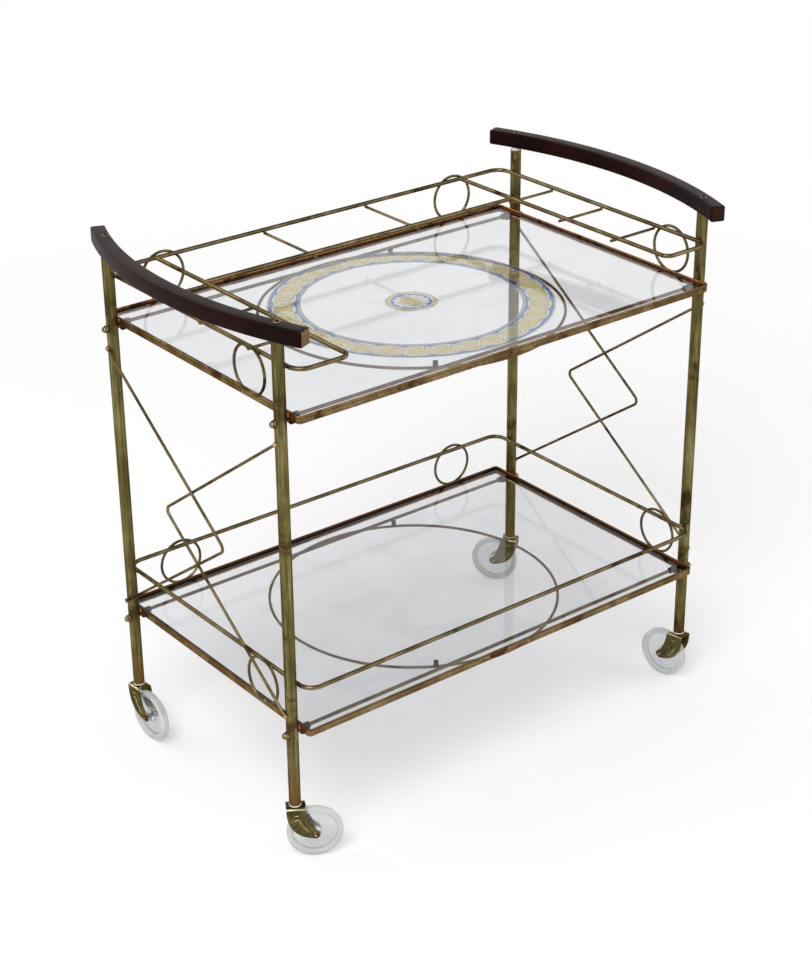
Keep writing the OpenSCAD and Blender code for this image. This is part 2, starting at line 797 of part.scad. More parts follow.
module upper_loop_right() color(brass) side_loop(1, loop_right_y, upper_rim_z);
module lower_loop_back_left() color(brass) back_loop(-1, lower_rim_z);
module lower_loop_back_right() color(brass) back_loop(1, lower_rim_z);
module lower_loop_left() color(brass) side_loop(-1, loop_left_y, lower_rim_z);
module lower_loop_right() color(brass) side_loop(1, loop_right_y, lower_rim_z);
module left_brace_front() color(brass) brace(-1, -1);
module left_brace_back() color(brass) brace(-1, 1);
module right_brace_front() color(brass) brace(1, -1);
module right_brace_back() color(brass) brace(1, 1);
module caster_bushings() color(white) for (sx = [-1, 1], sy = [-1, 1]) bushing(sx, sy);
module front_left_fork() color(brass) at_caster(-1, -1, swivel_front_left) fork();
module front_left_stem() color(steel) at_caster(-1, -1, swivel_front_left) stem();
module front_left_axle() color(steel) at_caster(-1, -1, swivel_front_left) axle();
module front_left_wheel() color(clear) at_caster(-1, -1, swivel_front_left) wheel();
module front_right_fork() color(brass) at_caster(1, -1, swivel_front_right) fork();
module front_right_stem() color(steel) at_caster(1, -1, swivel_front_right) stem();
module front_right_axle() color(steel) at_caster(1, -1, swivel_front_right) axle();
module front_right_wheel() color(clear) at_caster(1, -1, swivel_front_right) wheel();
module back_left_fork() color(brass) at_caster(-1, 1, swivel_back_left) fork();
module back_left_stem() color(steel) at_caster(-1, 1, swivel_back_left) stem();
module back_left_axle() color(steel) at_caster(-1, 1, swivel_back_left) axle();
module back_left_wheel() color(clear) at_caster(-1, 1, swivel_back_left) wheel();
module back_right_fork() color(brass) at_caster(1, 1, swivel_back_right) fork();
module back_right_stem() color(steel) at_caster(1, 1, swivel_back_right) stem();
module back_right_axle() color(steel) at_caster(1, 1, swivel_back_right) axle();
module back_right_wheel() color(clear) at_caster(1, 1, swivel_back_right) wheel();

leg_front_left();
leg_front_right();
leg_back_left();
leg_back_right();
leg_plugs();
handle_left();
handle_right();
handle_screws();
upper_tray_frame();
lower_tray_frame();
upper_glass();
lower_glass();
upper_front_rod();
upper_back_rod();
lower_front_rod();
lower_back_rod();
dome_nuts();
upper_ring();
lower_ring();
upper_glass_pads();
lower_glass_pads();
upper_gallery_wire();
upper_inner_wire();
upper_gallery_links();
lower_gallery_wire();
upper_loop_back_left();
upper_loop_back_right();
upper_loop_left();
upper_loop_right();
lower_loop_back_left();
lower_loop_back_right();
lower_loop_left();
lower_loop_right();
left_brace_front();
left_brace_back();
right_brace_front();
right_brace_back();
caster_bushings();
front_left_fork();
front_left_stem();
front_left_axle();
front_left_wheel();
front_right_fork();
front_right_stem();
front_right_axle();
front_right_wheel();
back_left_fork();
back_left_stem();
back_left_axle();
back_left_wheel();
back_right_fork();
back_right_stem();
back_right_axle();
back_right_wheel();
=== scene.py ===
"""Two-tier bar cart: finishes, welds, printed glass, studio floor and camera.

Lengths below are in millimetres and are turned into metres by mm().
"""
import json
import math

import bmesh
import bpy
from mathutils import Matrix, Vector, noise


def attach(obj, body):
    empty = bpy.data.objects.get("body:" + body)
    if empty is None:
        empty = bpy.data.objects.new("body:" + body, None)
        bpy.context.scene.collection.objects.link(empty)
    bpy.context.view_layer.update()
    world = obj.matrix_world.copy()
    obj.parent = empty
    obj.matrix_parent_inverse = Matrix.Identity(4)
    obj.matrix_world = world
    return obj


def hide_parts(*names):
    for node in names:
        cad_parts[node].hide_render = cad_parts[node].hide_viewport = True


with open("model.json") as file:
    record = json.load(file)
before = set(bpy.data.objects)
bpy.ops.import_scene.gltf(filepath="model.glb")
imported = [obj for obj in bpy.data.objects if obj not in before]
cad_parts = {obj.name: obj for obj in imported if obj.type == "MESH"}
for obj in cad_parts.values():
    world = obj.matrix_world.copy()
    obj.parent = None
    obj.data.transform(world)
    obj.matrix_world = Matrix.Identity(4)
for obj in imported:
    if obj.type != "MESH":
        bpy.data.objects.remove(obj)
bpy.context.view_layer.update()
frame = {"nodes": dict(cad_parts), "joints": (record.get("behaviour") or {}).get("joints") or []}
nodes = frame["nodes"]
joints = {joint["name"]: joint for joint in frame["joints"]}

CORNERS = {
    "front_left": (-1, -1),
    "front_right": (1, -1),
    "back_left": (-1, 1),
    "back_right": (1, 1),
}
TIERS = {"upper": 652, "lower": 207}
LEG_X, LEG_Y, LEG_R = 356, 195, 8
RAIL_X, RAIL_Y, RAIL_H = 348, 222, 11.5
WIRE_R = 3
GALLERY_RISE = 57.5
GALLERY_X, GALLERY_Y = RAIL_X - WIRE_R, RAIL_Y - WIRE_R
INNER_X, INNER_Y = 267, 100
LOOP_R, LOOP_RISE = 33, 29.5
BRACE_X, BRACE_ENDS = 366, (610.5, 222.5)
BOW_R, HANDLE_X, HANDLE_LEN = 612, 391, 472
HANDLE_W, HANDLE_H, HANDLE_Z = 20, 22, 746.5
FORK_HALF, HUB_HALF = 11, 8.7
TRAIL, AXLE_Z = 25.5, 38
LINK_Y, BACK_LINK_X = (100, -7, -114), 89
BACK_LOOP_X, LEFT_LOOP_Y, RIGHT_LOOP_Y = 255, -123, -144
RING_R, ROD_DROP = 210, 14
BAND_IN, BAND_OUT, ROSETTE_R = 151, 197.6, 36.5
NUT_R, NUT_H, NUT_DOME_R = 5.6, 3.2, 4.6
GROMMET_X, GROMMET_HALF, GROMMET_R = 339.8, 3.6, 6.8
RIB_TOP, RIB_PULL, RIB_LOW = Vector((1, 63.7)), Vector((4, 50)), Vector((16, 39.5))
RIB_HALF, RIB_CROWN = 4.2, 1.3
RIVET_R, RIVET_CROWN = 3.7, 2.2
DASH_AT, DASH_HALF = (1.3, 69.5), (3.3, 0.45, 0.65)


def mm(*values):
    """Millimetres to metres, as one number or as a vector."""
    if len(values) == 1:
        return values[0] / 1000
    return Vector([value / 1000 for value in values])


def colour(red, green, blue):
    """Linear colour from a colour as it looks on the screen, 0 to 255."""
    def linear(channel):
        value = channel / 255
        return value / 12.92 if value <= 0.04045 else ((value + 0.055) / 1.055) ** 2.4
    return (linear(red), linear(green), linear(blue), 1)


class Finish:
    """A material whose pattern is fixed to the piece by its object coordinates."""

    def __init__(self, name, **sockets):
        self.material = bpy.data.materials.new(name)
        self.material.use_nodes = True
        self.tree = self.material.node_tree
        self.shader = self.tree.nodes["Principled BSDF"]
        self.place = self.tree.nodes.new("ShaderNodeTexCoord").outputs["Object"]
        for socket, value in sockets.items():
            self.feed(value, socket.replace("_", " "))

    def feed(self, value, socket):
        self.plug(value, self.shader.inputs[socket])

    def plug(self, value, socket):
        if isinstance(value, bpy.types.NodeSocket):
            self.tree.links.new(value, socket)
        else:
            socket.default_value = value

    def math(self, operation, *values, clamp=False):
        node = self.tree.nodes.new("ShaderNodeMath")
        node.operation = operation
        node.use_clamp = clamp
        for index, value in enumerate(values):
            self.plug(value, node.inputs[index])
        return node.outputs[0]

    def stretched(self, scale):
        node = self.tree.nodes.new("ShaderNodeMapping")
        self.plug(self.place, node.inputs["Vector"])
        node.inputs["Scale"].default_value = scale
        return node.outputs[0]

    def joined(self, x, y, z):
        node = self.tree.nodes.new("ShaderNodeCombineXYZ")
        for index, value in enumerate((x, y, z)):
            self.plug(value, node.inputs[index])
        return node.outputs[0]

    def axes(self, vector=None):
        node = self.tree.nodes.new("ShaderNodeSeparateXYZ")
        self.plug(vector or self.place, node.inputs[0])
        return node.outputs

    def noise(self, scale, detail=4, rough=0.55, vector=None, distort=0):
        node = self.tree.nodes.new("ShaderNodeTexNoise")
        self.plug(vector or self.place, node.inputs["Vector"])
        node.inputs["Scale"].default_value = scale
        node.inputs["Detail"].default_value = detail
        node.inputs["Roughness"].default_value = rough
        node.inputs["Distortion"].default_value = distort
        return node.outputs[0]

    def cells(self, scale, feature="F1"):
        node = self.tree.nodes.new("ShaderNodeTexVoronoi")
        node.feature = feature
        self.plug(self.place, node.inputs["Vector"])
        node.inputs["Scale"].default_value = scale
        return node.outputs["Distance"]

    def step(self, value, low, high, start=0, end=1):
        """Smooth rise from start to end while value goes from low to high."""
        node = self.tree.nodes.new("ShaderNodeMapRange")
        node.interpolation_type = "SMOOTHSTEP"
        for index, part in enumerate((value, low, high, start, end)):
            self.plug(part, node.inputs[index])
        return node.outputs[0]

    def band(self, value, low, high, soft):
        """One between low and high, zero outside, with soft edges."""
        rise = self.step(value, low - soft, low + soft)
        fall = self.step(value, high - soft, high + soft, 1, 0)
        return self.math("MULTIPLY", rise, fall)

    def mix(self, amount, below, above, blend="MIX"):
        node = self.tree.nodes.new("ShaderNodeMix")
        node.data_type = "RGBA"
        node.blend_type = blend
        self.plug(amount, node.inputs[0])
        self.plug(below, node.inputs[6])
        self.plug(above, node.inputs[7])
        return node.outputs[2]

    def bump(self, height, strength, distance):
        node = self.tree.nodes.new("ShaderNodeBump")
        node.inputs["Strength"].default_value = strength
        node.inputs["Distance"].default_value = mm(distance)
        self.plug(height, node.inputs["Height"])
        self.feed(node.outputs[0], "Normal")


def worn_metal(name, bright, dull, rust, rough, patch=22, rust_from=0.58):
    """Plated metal, darker at its edges: a mottled tone, rusty patches and pits."""
    skin = Finish(name, Metallic=0.86, Specular_Tint=(0.42, 0.34, 0.24, 1))
    mottle = skin.step(skin.noise(patch, 5, 0.6), 0.35, 0.68)
    tone = skin.mix(mottle, dull, bright)
    patches = skin.noise(patch * 0.6, 8, 0.68, distort=0.4)
    rusty = skin.step(patches, rust_from, rust_from + 0.12)
    specks = skin.step(skin.noise(patch * 22, 3, 0.6), 0.64, 0.72)
    worn = skin.math("MAXIMUM", rusty, skin.math("MULTIPLY", specks, 0.7))
    return skin, tone, worn, rust, rough


def close_metal(skin, tone, worn, rust, rough, bump=0.12):
    skin.feed(skin.mix(worn, tone, rust), "Base Color")
    skin.feed(skin.step(worn, 0, 1, rough, min(1, rough + 0.3)), "Roughness")
    skin.bump(skin.noise(900, 3, 0.6), bump, 0.15)
    return skin.material


def leg_brass():
    """Tube plating: painted reflection streaks down the tube, dark and pale, then brown by the
    trays and rust at the foot.
    """
    skin, tone, worn, rust, rough = worn_metal(
        "worn_leg_brass", colour(122, 112, 66), colour(94, 86, 48),
        colour(64, 46, 22), 0.28, patch=18, rust_from=0.54)
    reflection_streaks = skin.noise(230, 4, 0.62, skin.stretched((1, 1, 0.05)))
    # Painted reflection: dark streaks and pale highlight streaks down the tube stand in for
    # reflected surroundings.
    tone = skin.mix(skin.step(reflection_streaks, 0.5, 0.62, 0, 0.6), tone, colour(62, 52, 26))
    tone = skin.mix(skin.step(reflection_streaks, 0.34, 0.44, 0.75, 0), tone, colour(148, 138, 98))
    height = skin.math("MULTIPLY", skin.axes()[2], 1000)
    spread = skin.step(skin.noise(60, 4, 0.6), 0.38, 0.62)
    for rim in TIERS.values():
        near = skin.band(height, rim - 20, rim + 26, 16)
        near = skin.math("MULTIPLY", skin.math("MULTIPLY", near, 0.8), spread)
        worn = skin.math("MAXIMUM", worn, near)
    blotch = skin.math("ADD", height, skin.math("MULTIPLY", skin.noise(45, 4, 0.6), 60))
    tone = skin.mix(skin.step(blotch, 118, 182, 0.85, 0), tone, colour(106, 78, 40))
    return close_metal(skin, tone, worn, rust, rough)


def wire_brass():
    return close_metal(*worn_metal(
        "tarnished_wire_brass", colour(126, 110, 76), colour(86, 75, 48),
        colour(58, 38, 24), 0.24, patch=26, rust_from=0.54))


def rail_brass():
    """Rails: reddish inside, a painted shade line under the lip, a pale ledge with painted light
    under each pane, and rust specks at the foot.
    """
    skin, tone, worn, rust, rough = worn_metal(
        "rusty_rail_brass", colour(146, 124, 84), colour(102, 82, 50),
        colour(76, 47, 25), 0.22, patch=30, rust_from=0.53)
    height = skin.math("MULTIPLY", skin.axes()[2], 1000)
    level = skin.math("ADD", height, skin.math("MULTIPLY", skin.noise(40, 4, 0.6), 2.4))
    x, y, _ = skin.axes()
    within = [skin.step(skin.math("ABSOLUTE", axis), mm(size - 1.6), mm(size - 1.0), 1, 0)
              for axis, size in ((x, RAIL_X), (y, RAIL_Y))]
    inside = skin.math("MULTIPLY", *within)
    outside = skin.math("SUBTRACT", 1, inside)
    pits = skin.math("MULTIPLY", skin.step(skin.noise(420, 4, 0.65), 0.52, 0.62), outside)
    # Painted shade: a dark line just under the upper tray's lip stands for the dark horizon
    # reflected in the rounded face; the lower tray's rail is darkened at its top where the upper
    # tray shades it. It goes in through the rust mask.
    for rim, high, low in ((TIERS["upper"], 1.4, 3.4), (TIERS["lower"], -1.2, 1.4)):
        shade_line = skin.math("MULTIPLY", skin.band(level, rim - low, rim - high, 0.7), 0.6)
        worn = skin.math("MAXIMUM", worn, shade_line)
        foot = skin.band(height, rim - RAIL_H - 1, rim - 5.5, 1.5)
        worn = skin.math("MAXIMUM", worn, skin.math("MULTIPLY", foot, pits))
    tone = skin.mix(skin.math("MULTIPLY", inside, 0.85), tone, colour(148, 98, 62))
    for rim in TIERS.values():
        # Painted light: the ledge under each pane is made pale to stand in for light that the glass
        # holds back.
        painted_light_ledge = skin.math("MULTIPLY", inside, skin.band(height, rim - RAIL_H - 1, rim - 9, 0.4))
        tone = skin.mix(painted_light_ledge, tone, colour(206, 170, 132))
    gap = skin.math("ABSOLUTE", skin.math("SUBTRACT", skin.math("ABSOLUTE", y), mm(LEG_Y)))
    heat = skin.math("MULTIPLY", skin.step(gap, mm(7), mm(24), 1, 0),
                     skin.step(skin.math("ABSOLUTE", x), mm(RAIL_X - 16), mm(RAIL_X - 4)))
    heat = skin.math("MULTIPLY", heat, skin.step(skin.noise(170, 4, 0.6), 0.34, 0.56))
    return close_metal(skin, skin.mix(heat, tone, colour(188, 110, 46)), worn, rust, rough,
                       bump=0.2)


def rod_brass():
    """Rods and rings under the panes, browner than the rails."""
    return close_metal(*worn_metal(
        "brown_rod_brass", colour(128, 106, 72), colour(92, 70, 44),
        colour(66, 40, 20), 0.3, patch=30, rust_from=0.54))


def weld_metal():
    return close_metal(*worn_metal(
        "pale_weld", colour(188, 158, 108), colour(140, 106, 64),
        colour(88, 54, 28), 0.24, patch=140, rust_from=0.58))


def nut_brass():
    return close_metal(*worn_metal(
        "bright_nut_brass", colour(160, 144, 110), colour(108, 93, 66),
        colour(76, 56, 34), 0.18, patch=120, rust_from=0.53), bump=0.05)


def fork_brass():
    return close_metal(*worn_metal(
        "dark_fork_brass", colour(104, 97, 56), colour(76, 71, 40),
        colour(52, 42, 24), 0.28, patch=70, rust_from=0.58), bump=0.08)


def highlight_brass():
    """Pale brass used as painted highlight on the forks' upper folds, upper rib slopes, dashes and
    rivet tops.
    """
    return close_metal(*worn_metal(
        "painted_highlight_brass", colour(222, 208, 160), colour(178, 162, 112),
        colour(120, 96, 54), 0.22, patch=90, rust_from=0.6), bump=0.05)


def dark_steel():
    return close_metal(*worn_metal(
        "dark_rivet_steel", colour(108, 80, 56), colour(64, 46, 32),
        colour(38, 26, 18), 0.17, patch=160, rust_from=0.62), bump=0.05)


def screw_steel():
    """Round-head screws: darkened slot and dome, with a painted highlight ring at the edge."""
    skin = Finish("dark_screw_steel", Metallic=0.9, Roughness=0.3)
    x, y, _ = skin.axes()
    gaps = [skin.math("SUBTRACT", skin.math("ABSOLUTE", axis), mm(size))
            for axis, size in ((x, LEG_X), (y, LEG_Y))]
    squares = [skin.math("MULTIPLY", gap, gap) for gap in gaps]
    radius = skin.math("SQRT", skin.math("ADD", *squares))
    rim = skin.step(radius, mm(3.1), mm(4.2))
    dark = skin.mix(skin.noise(900, 3), colour(58, 38, 30), colour(84, 58, 44))
    # Painted highlight: a bright ring at the edge of each screw head.
    skin.feed(skin.mix(rim, dark, colour(128, 106, 88)), "Base Color")
    skin.bump(skin.noise(1400, 2), 0.1, 0.1)
    return skin.material


def dark_wood(name, side):
    """Dark mahogany, polished on top, with bare end grain at its front end."""
    skin = Finish(name, Specular_IOR_Level=0.05, Coat_Roughness=0.2, Roughness=0.42)
    x, y, z = skin.axes()
    out = skin.math("ADD", skin.math("MULTIPLY", x, side), mm(BOW_R - HANDLE_X))
    arc = skin.math("MULTIPLY", skin.math("ARCTAN2", y, out), mm(BOW_R))
    squares = [skin.math("MULTIPLY", part, part) for part in (out, y)]
    radius = skin.math("SQRT", skin.math("ADD", *squares))
    grain = skin.noise(190, 6, 0.62, skin.joined(radius, skin.math("MULTIPLY", arc, 0.045), z), 0.6)
    pores = skin.noise(900, 3, 0.6, skin.joined(radius, skin.math("MULTIPLY", arc, 0.02), z))
    shade = skin.step(skin.noise(9, 3, 0.5), 0.42, 0.62)
    tone = skin.mix(grain, colour(8, 1, 2), colour(32, 6, 5))
    tone = skin.mix(skin.math("MULTIPLY", shade, 0.45), tone, colour(48, 12, 8))
    tone = skin.mix(skin.step(pores, 0.55, 0.7, 0, 0.5), tone, colour(8, 3, 3))
    chipped = skin.math("ADD", arc, skin.math("MULTIPLY", skin.noise(160, 3), mm(0.5)))
    end = -math.asin(HANDLE_LEN / 2 / BOW_R) * BOW_R
    bare = skin.step(chipped, mm(end + 0.5), mm(end + 0.9), 1, 0)
    raw = colour(138, 108, 74) if side < 0 else colour(54, 34, 23)
    shaded = colour(98, 72, 44) if side < 0 else colour(34, 20, 13)
    cut = skin.mix(skin.noise(300, 4, 0.6, skin.stretched((0.4, 1, 1))), raw, shaded)
    skin.feed(skin.mix(bare, tone, cut), "Base Color")
    top = skin.step(z, mm(HANDLE_Z + HANDLE_H - 2), mm(HANDLE_Z + HANDLE_H - 0.4), 0.02, 0.17)
    handled = skin.step(skin.noise(30, 4, 0.6), 0.3, 0.7, 0.55, 1)
    gloss = skin.math("MULTIPLY", skin.math("MULTIPLY", top, handled), skin.step(bare, 0, 1, 1, 0))
    skin.feed(gloss, "Coat Weight")
    skin.bump(grain, 0.05, 0.2)
    return skin.material


def clear_glass():
    """Smooth pane with a faint film and fine dust."""
    skin = Finish("clear_glass", Roughness=0.0, IOR=1.35, Transmission_Weight=1.0)
    film = skin.step(skin.noise(9, 5, 0.6, distort=0.7), 0.4, 0.75)
    dust = skin.step(skin.noise(700, 2, 0.5), 0.68, 0.76, 0, 0.5)
    tone = skin.mix(film, colour(233, 234, 236), colour(224, 226, 229))
    skin.feed(skin.mix(dust, tone, colour(200, 200, 198)), "Base Color")
    return skin.material


def clear_plastic(name, clear, rough, below, above):
    """Clear moulding, slightly clouded by age."""
    skin = Finish(name, IOR=1.3, Transmission_Weight=clear, Roughness=rough)
    skin.feed(skin.mix(skin.noise(34, 3, 0.5), below, above), "Base Color")
    return skin.material


def white_plastic():
    skin = Finish("white_nylon", Roughness=0.45)
    dirt = skin.step(skin.noise(150, 5, 0.6), 0.42, 0.75)
    skin.feed(skin.mix(dirt, colour(236, 232, 220), colour(196, 184, 158)), "Base Color")
    skin.bump(skin.noise(700, 2), 0.08, 0.1)
    return skin.material


def black_rubber():
    skin = Finish("dark_rubber", Roughness=0.7, Specular_IOR_Level=0.15)
    dust = skin.step(skin.noise(320, 4, 0.6), 0.4, 0.75)
    skin.feed(skin.mix(dust, colour(12, 11, 12), colour(28, 25, 26)), "Base Color")
    skin.bump(skin.noise(1100, 3), 0.2, 0.15)
    return skin.material


def polar(skin):
    """Radius in millimetres and direction in radians about the cart's middle."""
    x, y, _ = skin.axes()
    squares = [skin.math("MULTIPLY", axis, axis) for axis in (x, y)]
    radius = skin.math("MULTIPLY", skin.math("SQRT", skin.math("ADD", *squares)), 1000)
    return radius, skin.math("ARCTAN2", y, x)


def scallops(skin, direction, count):
    """Place across a scallop, from -1 to 1, and the height of its arc, 0 to 1."""
    turns = skin.math("MULTIPLY", direction, count / math.tau)
    across = skin.math("SUBTRACT", skin.math("FRACT", turns), 0.5)
    across = skin.math("MULTIPLY", across, 2)
    left = skin.math("SUBTRACT", 1, skin.math("MULTIPLY", across, across))
    return across, skin.math("SQRT", skin.math("MAXIMUM", left, 0))


YELLOW_INK, DEEP_YELLOW = colour(255, 252, 226), colour(230, 204, 104)
WHITE_INK, BLUE_INK = colour(255, 255, 255), colour(136, 168, 214)


def ink_film(name):
    """Translucent ink: it tints what shows through it."""
    return Finish(name, Roughness=0.0, IOR=1.02, Transmission_Weight=0.7)


def band_ink():
    """Border of lace scallops between two blue edges and two pale lines."""
    skin = ink_film("printed_lace")
    radius, direction = polar(skin)
    across, arc = scallops(skin, direction, 30)
    outer = skin.math("ADD", 183.5, skin.math("MULTIPLY", arc, 7.5))
    inner = skin.math("SUBTRACT", 166, skin.math("MULTIPLY", arc, 7.5))
    inset = skin.math("MINIMUM", skin.math("SUBTRACT", outer, radius),
                      skin.math("SUBTRACT", radius, inner))
    lace = skin.step(inset, -0.2, 0.2)
    side = skin.math("MULTIPLY", across, 18.3)
    rise = skin.math("SUBTRACT", radius, 174.7)
    squares = skin.math("ADD", skin.math("MULTIPLY", side, side), skin.math("MULTIPLY", rise, rise))
    reach = skin.math("SQRT", squares)
    swirl = skin.math("MULTIPLY", skin.math("ARCTAN2", rise, side), 8)
    petals = skin.math("SINE", skin.math("ADD", skin.math("MULTIPLY", reach, 0.9), swirl))
    mesh = skin.cells(300, "DISTANCE_TO_EDGE")
    thread = skin.math("MAXIMUM", skin.step(petals, 0, 0.35, 0, 0.9),
                       skin.step(mesh, 0.05, 0.2, 0.5, 0))
    ink = skin.mix(thread, YELLOW_INK, DEEP_YELLOW)
    joint = skin.math("SUBTRACT", 18.3, skin.math("ABSOLUTE", side))
    near = skin.math("SQRT", skin.math("ADD", skin.math("MULTIPLY", joint, joint),
                                       skin.math("MULTIPLY", rise, rise)))
    for start, end in ((3.6, 4.6), (7.0, 8.0)):
        ink = skin.mix(skin.band(near, start, end, 0.2), ink, WHITE_INK)
    ink = skin.mix(skin.band(inset, 0, 1.9, 0.2), ink, WHITE_INK)
    ink = skin.mix(lace, BLUE_INK, ink)
    for start, end in ((151, 152.6), (154.2, 155.4), (195.2, 198)):
        ink = skin.mix(skin.band(radius, start, end, 0.2), ink, YELLOW_INK)
    skin.feed(ink, "Base Color")
    return skin.material


def medallion_ink():
    """Small rosette in a blue ring with pale petals and a yellow edge."""
    skin = ink_film("printed_rosette")
    radius, direction = polar(skin)
    _, petal = scallops(skin, direction, 12)
    _, leaf = scallops(skin, direction, 8)
    tips = skin.math("ADD", 20, skin.math("MULTIPLY", petal, 5.5))
    past = skin.math("SUBTRACT", radius, tips)
    ink = skin.mix(skin.step(past, -0.3, 0.3, 1, 0), BLUE_INK, WHITE_INK)
    leaves = skin.math("ADD", 11, skin.math("MULTIPLY", leaf, 8))
    veins = skin.step(skin.cells(380, "DISTANCE_TO_EDGE"), 0.05, 0.22, 0.8, 0)
    gold = skin.mix(veins, YELLOW_INK, DEEP_YELLOW)
    past = skin.math("SUBTRACT", radius, leaves)
    ink = skin.mix(skin.step(past, -0.3, 0.3, 1, 0), ink, gold)
    ink = skin.mix(skin.band(radius, 28.4, 30.2, 0.2), ink, WHITE_INK)
    ink = skin.mix(skin.step(radius, 30.2, 30.8), ink, gold)
    skin.feed(ink, "Base Color")
    return skin.material


def add_piece(shape, name, body, material, sharp=35):
    """Turns a bmesh into a piece that rides on a body."""
    mesh = bpy.data.meshes.new(name)
    shape.to_mesh(mesh)
    shape.free()
    mesh.materials.append(material)
    mesh.shade_smooth()
    mesh.set_sharp_from_angle(angle=math.radians(sharp))
    piece = bpy.data.objects.new(name, mesh)
    bpy.context.scene.collection.objects.link(piece)
    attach(piece, body)
    return piece


def tidy_normals(shape):
    bmesh.ops.remove_doubles(shape, verts=shape.verts, dist=1e-6)
    bmesh.ops.recalc_face_normals(shape, faces=shape.faces)


def outline(shape, points, radius, segments):
    """Closed flat outline in the XZ plane with rounded corners."""
    face = shape.faces.new([shape.verts.new(mm(x, 0, z)) for x, z in points])
    bmesh.ops.bevel(shape, geom=list(face.verts), offset=mm(radius), segments=segments,
                    profile=0.5, affect="VERTICES", material=-1, clamp_overlap=True)


def bowed_handle(side):
    """Handle bar swept along its bow, with eased ends."""
    name = "handle_left" if side < 0 else "handle_right"
    round_in, round_on = 2.3, 3.2
    half = math.asin(HANDLE_LEN / 2 / BOW_R) - round_on / BOW_R
    near, far, top = BOW_R - HANDLE_W / 2, BOW_R + HANDLE_W / 2, HANDLE_Z + HANDLE_H
    shape = bmesh.new()
    outline(shape, [(near, HANDLE_Z), (far, HANDLE_Z), (far, top), (near, top)], 2.5, 6)
    bmesh.ops.rotate(shape, verts=shape.verts, cent=(0, 0, 0),
                     matrix=Matrix.Rotation(-half, 3, "Z"))
    bmesh.ops.spin(shape, geom=shape.faces[:] + shape.edges[:] + shape.verts[:],
                   cent=(0, 0, 0), axis=(0, 0, 1), angle=2 * half, steps=72,
                   use_duplicate=False)
    bmesh.ops.translate(shape, verts=shape.verts, vec=mm(HANDLE_X - BOW_R, 0, 0))
    if side < 0:
        bmesh.ops.rotate(shape, verts=shape.verts, cent=(0, 0, 0),
                         matrix=Matrix.Rotation(math.pi, 3, "Z"))
    tidy_normals(shape)
    bmesh.ops.holes_fill(shape, edges=[e for e in shape.edges if e.is_boundary], sides=0)
    tidy_normals(shape)
    caps = [f for f in shape.faces if len(f.verts) > 4]
    for step in range(4):
        was, now = math.pi / 8 * step, math.pi / 8 * (step + 1)
        bmesh.ops.inset_individual(shape, faces=caps, use_even_offset=True,
                                   thickness=mm(round_in * (math.cos(was) - math.cos(now))),
                                   depth=mm(round_on * (math.sin(now) - math.sin(was))))
    tidy_normals(shape)
    piece = add_piece(shape, name + "_wood", "cart_frame",
                      dark_wood("mahogany_" + name, side), 50)
    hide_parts(name)


def softened(node, body, material, width):
    """Copy of a CAD node with small rounded edges, standing for the node."""
    shape = bmesh.new()
    shape.from_mesh(nodes[node].data)
    bmesh.ops.remove_doubles(shape, verts=shape.verts, dist=1e-5)
    bmesh.ops.dissolve_limit(shape, angle_limit=math.radians(0.5), use_dissolve_boundaries=False,
                             verts=shape.verts, edges=shape.edges, delimit=set())
    edges = [e for e in shape.edges
             if len(e.link_faces) == 2 and e.calc_face_angle() > math.radians(35)]
    bmesh.ops.bevel(shape, geom=edges, offset=mm(width), segments=2, profile=0.5,
                    affect="EDGES", material=-1, clamp_overlap=True)
    piece = add_piece(shape, node + "_soft_edge", body, material, 40)
    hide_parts(node)
    return piece


def clear_wheel(corner, web, rim):
    """Moulded wheel with a milky rounded rim, a thin web and fillets at its hub."""
    half = [(3.05, HUB_HALF), (7.5, HUB_HALF), (8.5, 1.7), (29.5, 1.7), (31.5, 5.0),
            (36.5, 5.0), (38.0, 3.5)]
    points = half + [(r, -a) for r, a in reversed(half)]
    shape = bmesh.new()
    face = shape.faces.new([shape.verts.new(mm(r, 0, a)) for r, a in points])
    corners = [v for v in face.verts if v.co.x > mm(3.2)]
    bmesh.ops.bevel(shape, geom=corners, offset=mm(0.8), segments=3, profile=0.5,
                    affect="VERTICES", material=-1, clamp_overlap=True)
    bmesh.ops.delete(shape, geom=shape.faces[:], context="FACES_ONLY")
    bmesh.ops.spin(shape, geom=shape.edges[:] + shape.verts[:], cent=(0, 0, 0),
                   axis=(0, 0, 1), angle=math.tau, steps=120, use_merge=True)
    tidy_normals(shape)
    for face in shape.faces:
        if face.calc_center_median().xy.length > mm(29.6):
            face.material_index = 1
    joint = joints[corner + "_wheel_roll"]
    turn = Vector(joint["axis"]).to_track_quat("Z", "Y").to_matrix()
    bmesh.ops.rotate(shape, verts=shape.verts, cent=(0, 0, 0), matrix=turn)
    bmesh.ops.translate(shape, verts=shape.verts, vec=Vector(joint["pos_m"]))
    piece = add_piece(shape, corner + "_wheel_clear", corner + "_roller",
                      web, 30)
    piece.data.materials.append(rim)
    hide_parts(corner + "_wheel")


def bead(shape, place, size):
    """One weld bead, slightly uneven, at a place in millimetres."""
    made = bmesh.ops.create_icosphere(shape, subdivisions=2, radius=1)
    for vert in made["verts"]:
        bulge = 1 + 0.16 * noise.noise(vert.co * 1.7 + Vector(place) * 0.31)
        vert.co = mm(*(place[i] + vert.co[i] * size[i] * bulge for i in range(3)))


